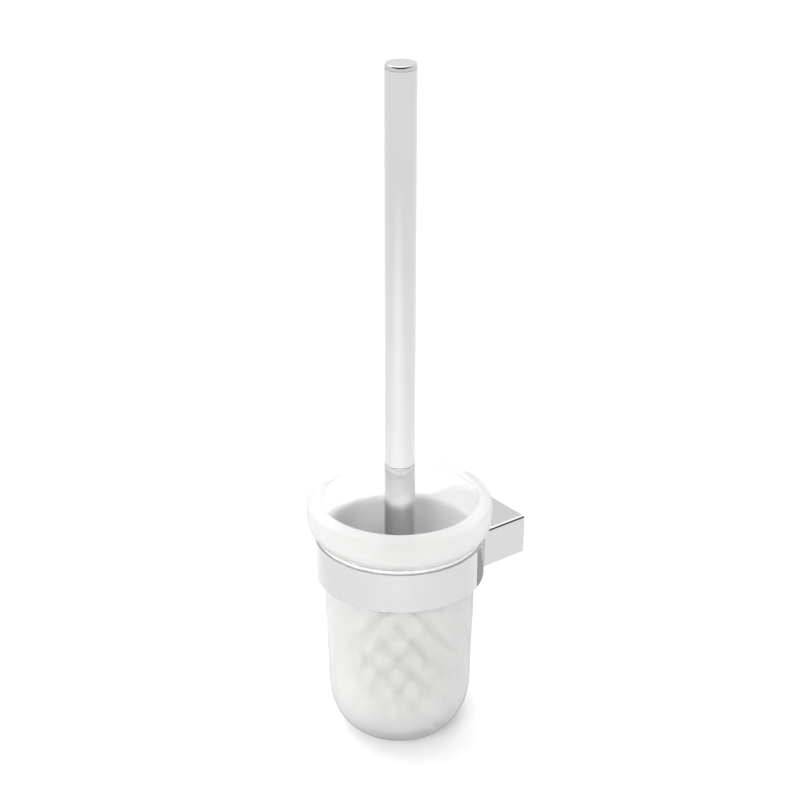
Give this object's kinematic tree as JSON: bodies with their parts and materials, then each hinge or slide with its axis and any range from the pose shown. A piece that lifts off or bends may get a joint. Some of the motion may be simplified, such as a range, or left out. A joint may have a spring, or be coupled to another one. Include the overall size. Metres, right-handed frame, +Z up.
{
  "type": "wall-mounted toilet brush set",
  "caption": "Wall-mounted toilet brush set: squared arm with a round ring, frosted glass tumbler with a flared collar, and a lift-out brush with a slim round metal handle.",
  "frame": {"origin": "centre of the arm's back face, on the wall, which is the back face of the hidden wall bracket", "axes": "+Y points straight into the wall, -Y is the front, +X runs along the wall, +Z is up along the handle"},
  "size_m": [0.1092, 0.1271, 0.4134],
  "materials": {
    "polished_chrome": "polished",
    "bracket_zinc": "plain zinc die-casting, satin",
    "screw_steel": "satin",
    "liner_plastic": "milky translucent",
    "frosted_glass": "satin frosted",
    "brush_plastic": "satin",
    "bristle_white": "fine bristles"
  },
  "bodies": {
    "holder": {"wall_bracket": "bracket_zinc", "holder_arm": "polished_chrome", "holder_ring": "polished_chrome", "liner_ring": "liner_plastic"},
    "clamp_screw": {"grub_screw": "screw_steel"},
    "tumbler": {"glass_tumbler": "frosted_glass"},
    "brush_head": {"brush_core": "brush_plastic", "brush_sleeve": "polished_chrome", "tuft_row_1": "bristle_white", "tuft_row_2": "bristle_white", "tuft_row_3": "bristle_white", "tuft_row_4": "bristle_white", "tuft_row_5": "bristle_white", "tuft_row_6": "bristle_white", "tuft_row_7": "bristle_white", "tuft_row_8": "bristle_white", "tuft_crown": "bristle_white"},
    "handle": {"handle_tube": "polished_chrome", "handle_cap": "polished_chrome", "tube_insert": "bracket_zinc", "threaded_stud": "screw_steel"}
  },
  "joints": [
    {"name": "tumbler_lift", "type": "slide", "parent": "holder", "child": "tumbler", "axis": [0, 0, 1], "range_m": [0, 0.15]},
    {"name": "brush_lift", "type": "slide", "parent": "tumbler", "child": "brush_head", "axis": [0, 0, 1], "range_m": [0, 0.165]},
    {"name": "handle_unscrew", "type": "hinge", "parent": "brush_head", "child": "handle", "pos_m": [0, -0.0725, 0.0594], "axis": [0, 0, 1], "continuous": true},
    {"name": "clamp_screw_turn", "type": "hinge", "parent": "holder", "child": "clamp_screw", "pos_m": [0, -0.0085, -0.0085], "axis": [0, 0, 1], "continuous": true}
  ]
}
